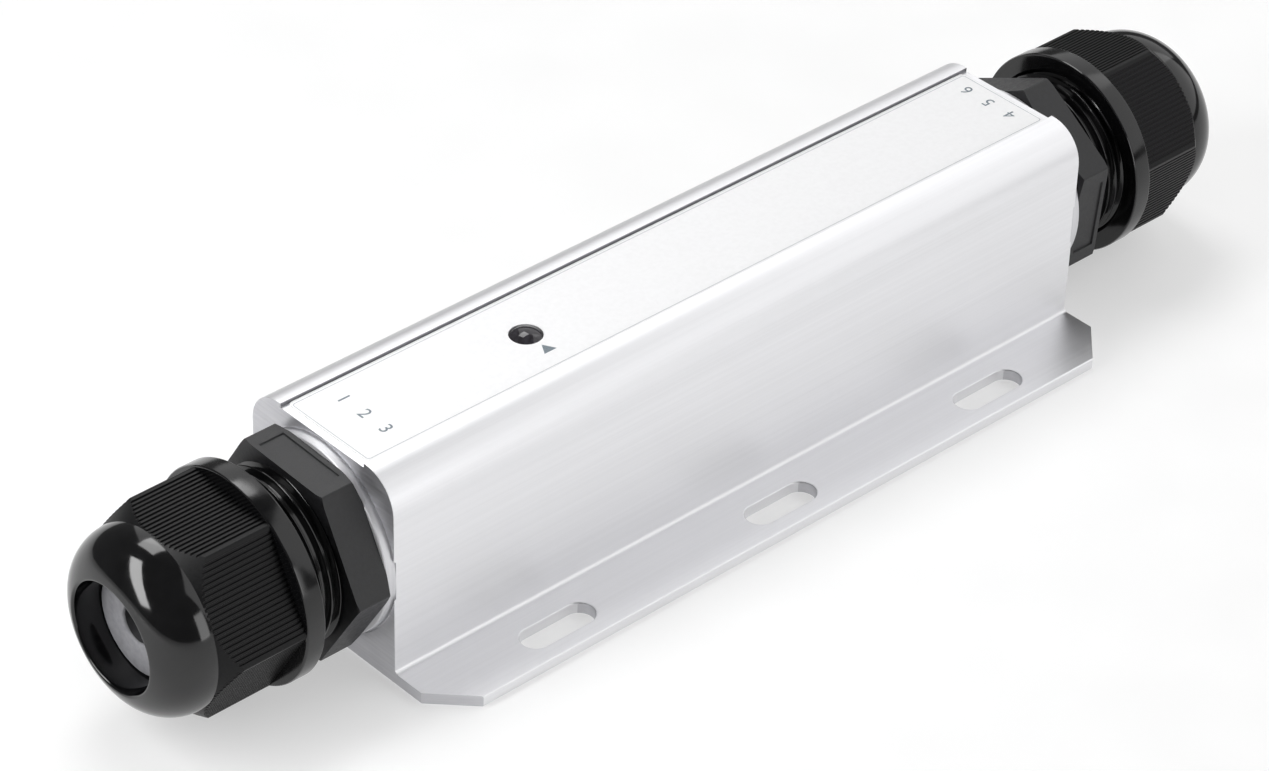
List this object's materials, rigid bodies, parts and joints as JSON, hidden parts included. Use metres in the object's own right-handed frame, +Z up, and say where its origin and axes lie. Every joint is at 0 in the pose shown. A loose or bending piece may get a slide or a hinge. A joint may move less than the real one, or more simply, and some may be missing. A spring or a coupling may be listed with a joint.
{
  "type": "power line surge protector",
  "caption": "In-line power line surge protector: extruded aluminium body with a slotted mounting flange, label, indicator lens, and a plastic cable gland with a turning dome nut at each end.",
  "frame": {"origin": "on the mounting face, at the middle of the body's length and width", "axes": "+X along the body, from the output gland to the input gland; +Y away from the flange; +Z up"},
  "size_m": [0.307, 0.0643, 0.0513],
  "materials": {
    "housing_metal": "clear anodised, satin",
    "label_film": "white film, satin",
    "lens_plastic": "smoked, polished",
    "ring_metal": "turned",
    "gland_plastic": "black, moulded",
    "grey_rubber": "grey, matt",
    "black_rubber": "matt",
    "terminal_plastic": "green, moulded",
    "screw_steel": "zinc plated",
    "sleeve_plastic": "natural, extruded",
    "board_laminate": "solder mask",
    "varistor_coating": "blue epoxy coating",
    "fuse_ceramic": "plain",
    "tube_ceramic": "plain, with metal caps",
    "led_plastic": "tinted, clear",
    "resistor_coating": "coated",
    "post_brass": "turned"
  },
  "bodies": {
    "housing": {"housing": "housing_metal", "label": "label_film", "indicator_lens": "lens_plastic", "indicator_gasket": "black_rubber", "output_seat_ring": "ring_metal", "output_gland_gasket": "black_rubber", "output_gland_body": "gland_plastic", "output_terminal_block": "terminal_plastic", "output_terminal_screws": "screw_steel", "input_seat_ring": "ring_metal", "input_gland_gasket": "black_rubber", "input_gland_body": "gland_plastic", "input_terminal_block": "terminal_plastic", "input_terminal_screws": "screw_steel", "insulating_sleeve": "sleeve_plastic", "circuit_board": "board_laminate", "varistors": "varistor_coating", "thermal_fuses": "fuse_ceramic", "gas_discharge_tube": "tube_ceramic", "indicator_led": "led_plastic", "led_resistor": "resistor_coating", "earth_post": "post_brass", "earth_screw": "screw_steel", "board_screw": "screw_steel"},
    "output_insert": {"output_clamp_cage": "gland_plastic", "output_cable_seal": "grey_rubber"},
    "output_nut": {"output_dome_nut": "gland_plastic"},
    "input_insert": {"input_clamp_cage": "gland_plastic", "input_cable_seal": "grey_rubber"},
    "input_nut": {"input_dome_nut": "gland_plastic"}
  },
  "joints": [
    {"name": "output_insert_slide", "type": "slide", "parent": "housing", "child": "output_insert", "axis": [-1, 0, 0], "range_m": [-0.00706, 0.00706]},
    {"name": "output_nut_turn", "type": "hinge", "parent": "output_insert", "child": "output_nut", "pos_m": [-0.13612, 0, 0.0265], "axis": [-1, 0, 0], "range_deg": [-1080, 1080]},
    {"name": "input_insert_slide", "type": "slide", "parent": "housing", "child": "input_insert", "axis": [1, 0, 0], "range_m": [-0.00706, 0.00706]},
    {"name": "input_nut_turn", "type": "hinge", "parent": "input_insert", "child": "input_nut", "pos_m": [0.13612, 0, 0.0265], "axis": [1, 0, 0], "range_deg": [-1080, 1080]}
  ],
  "couplings": [
    {"joint": "output_insert_slide", "follows": "output_nut_turn", "m_per_rad": 0.00037401},
    {"joint": "input_insert_slide", "follows": "input_nut_turn", "m_per_rad": 0.00037401}
  ]
}
